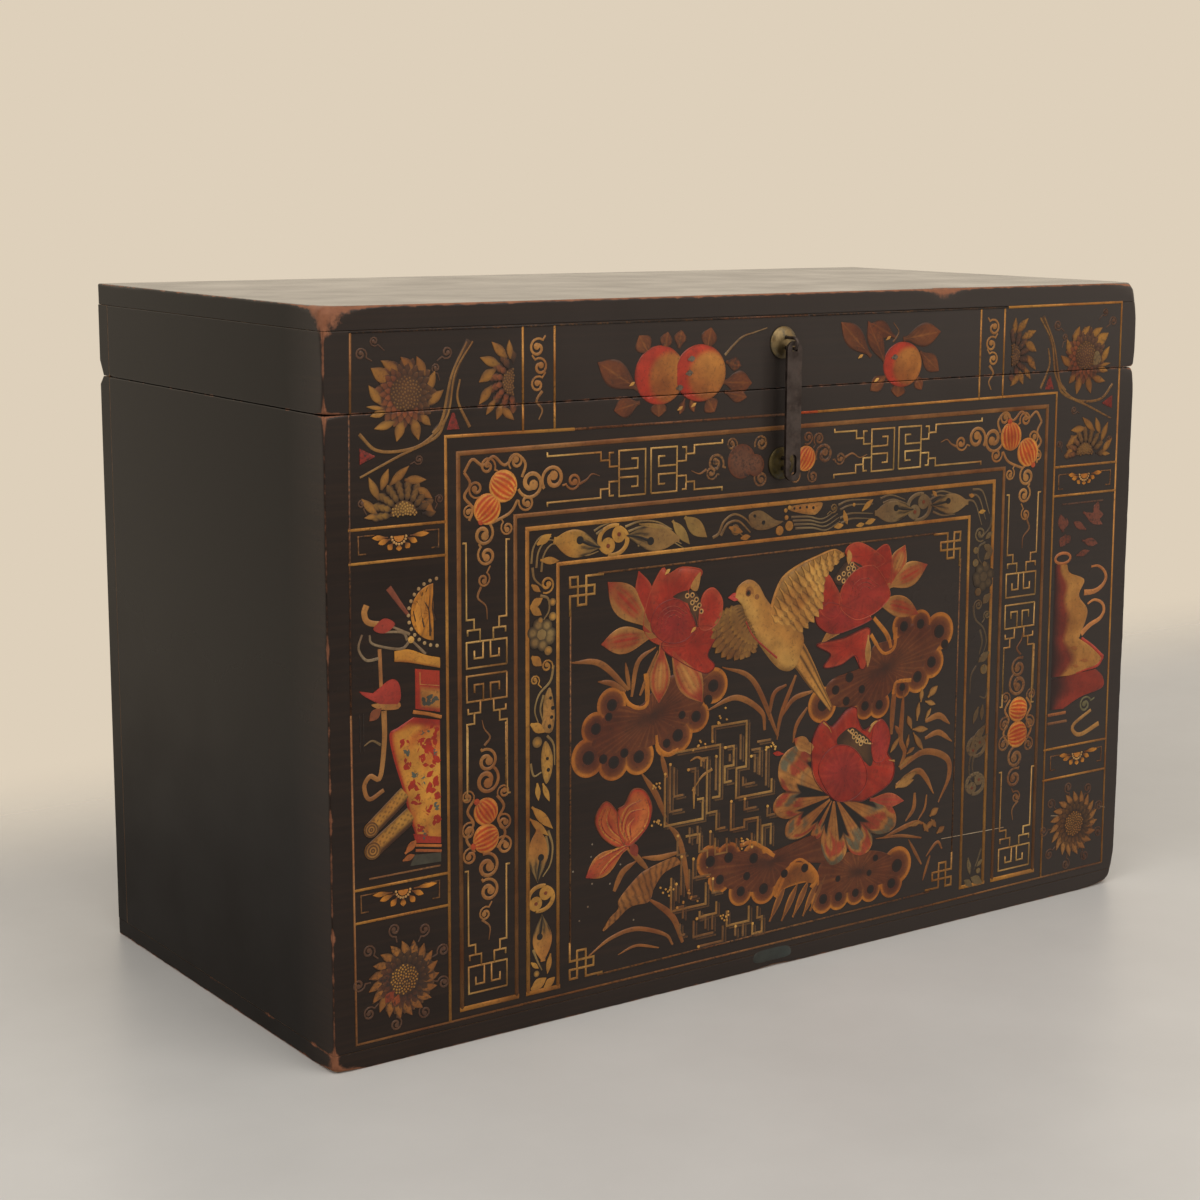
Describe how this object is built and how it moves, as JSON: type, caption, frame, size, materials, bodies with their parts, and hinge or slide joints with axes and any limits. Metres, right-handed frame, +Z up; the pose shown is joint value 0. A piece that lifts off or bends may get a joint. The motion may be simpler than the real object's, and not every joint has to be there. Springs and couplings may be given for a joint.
{
  "type": "chinese trunk",
  "caption": "Black-lacquered wooden trunk with a hinged lid, a painted front in gold lines and flowers, and a swinging hasp on round plates.",
  "frame": {"origin": "on the floor, under the middle of the trunk's bottom board", "axes": "+X across the front to the right as seen from the front, the front faces -Y, +Z up"},
  "size_m": [0.822, 0.412, 0.56],
  "materials": {
    "lacquered_wood": "black lacquer, satin, worn at the edges",
    "bare_wood": "unfinished",
    "bamboo": "split and shaved",
    "brass": "dull old patina",
    "iron": "hand-forged, dark"
  },
  "bodies": {
    "trunk": {"front_board": "lacquered_wood", "back_board": "lacquered_wood", "left_side_board": "lacquered_wood", "right_side_board": "lacquered_wood", "bottom_board": "lacquered_wood", "front_lip_strip": "bare_wood", "left_lip_strip": "bare_wood", "right_lip_strip": "bare_wood", "bottom_nail_1": "iron", "bottom_nail_2": "iron", "bottom_nail_3": "iron", "bottom_nail_4": "iron", "bottom_nail_5": "iron", "bottom_nail_6": "iron", "bottom_nail_7": "iron", "bottom_nail_8": "iron", "back_nail_1": "iron", "back_nail_2": "iron", "back_nail_3": "iron", "back_nail_4": "iron", "left_hinge_body_leaf": "brass", "right_hinge_body_leaf": "brass", "left_hinge_pin": "iron", "right_hinge_pin": "iron", "hinge_body_nail_1": "iron", "hinge_body_nail_2": "iron", "hinge_body_nail_3": "iron", "hinge_body_nail_4": "iron", "hasp_lower_plate": "brass", "hasp_lower_staple": "iron"},
    "lid": {"lid_top_board": "lacquered_wood", "lid_front_rail": "lacquered_wood", "lid_back_rail": "lacquered_wood", "lid_left_rail": "lacquered_wood", "lid_right_rail": "lacquered_wood", "lid_top_peg_1": "bamboo", "lid_top_peg_2": "bamboo", "lid_top_peg_3": "bamboo", "lid_top_peg_4": "bamboo", "lid_top_peg_5": "bamboo", "lid_top_peg_6": "bamboo", "lid_top_peg_7": "bamboo", "lid_top_peg_8": "bamboo", "lid_back_nail_1": "iron", "lid_back_nail_2": "iron", "left_hinge_lid_leaf": "brass", "right_hinge_lid_leaf": "brass", "hinge_lid_nail_1": "iron", "hinge_lid_nail_2": "iron", "hinge_lid_nail_3": "iron", "hinge_lid_nail_4": "iron", "hasp_upper_plate": "brass", "hasp_upper_staple": "iron"},
    "hasp": {"hasp_strap": "iron"}
  },
  "joints": [
    {"name": "lid_hinge", "type": "hinge", "parent": "trunk", "child": "lid", "pos_m": [0, 0.189, 0.4843], "axis": [-1, 0, 0], "range_deg": [0, 105]},
    {"name": "hasp_swing", "type": "hinge", "parent": "lid", "child": "hasp", "pos_m": [0, -0.2105, 0.521], "axis": [-1, 0, 0], "range_deg": [-5.2, 180]}
  ]
}
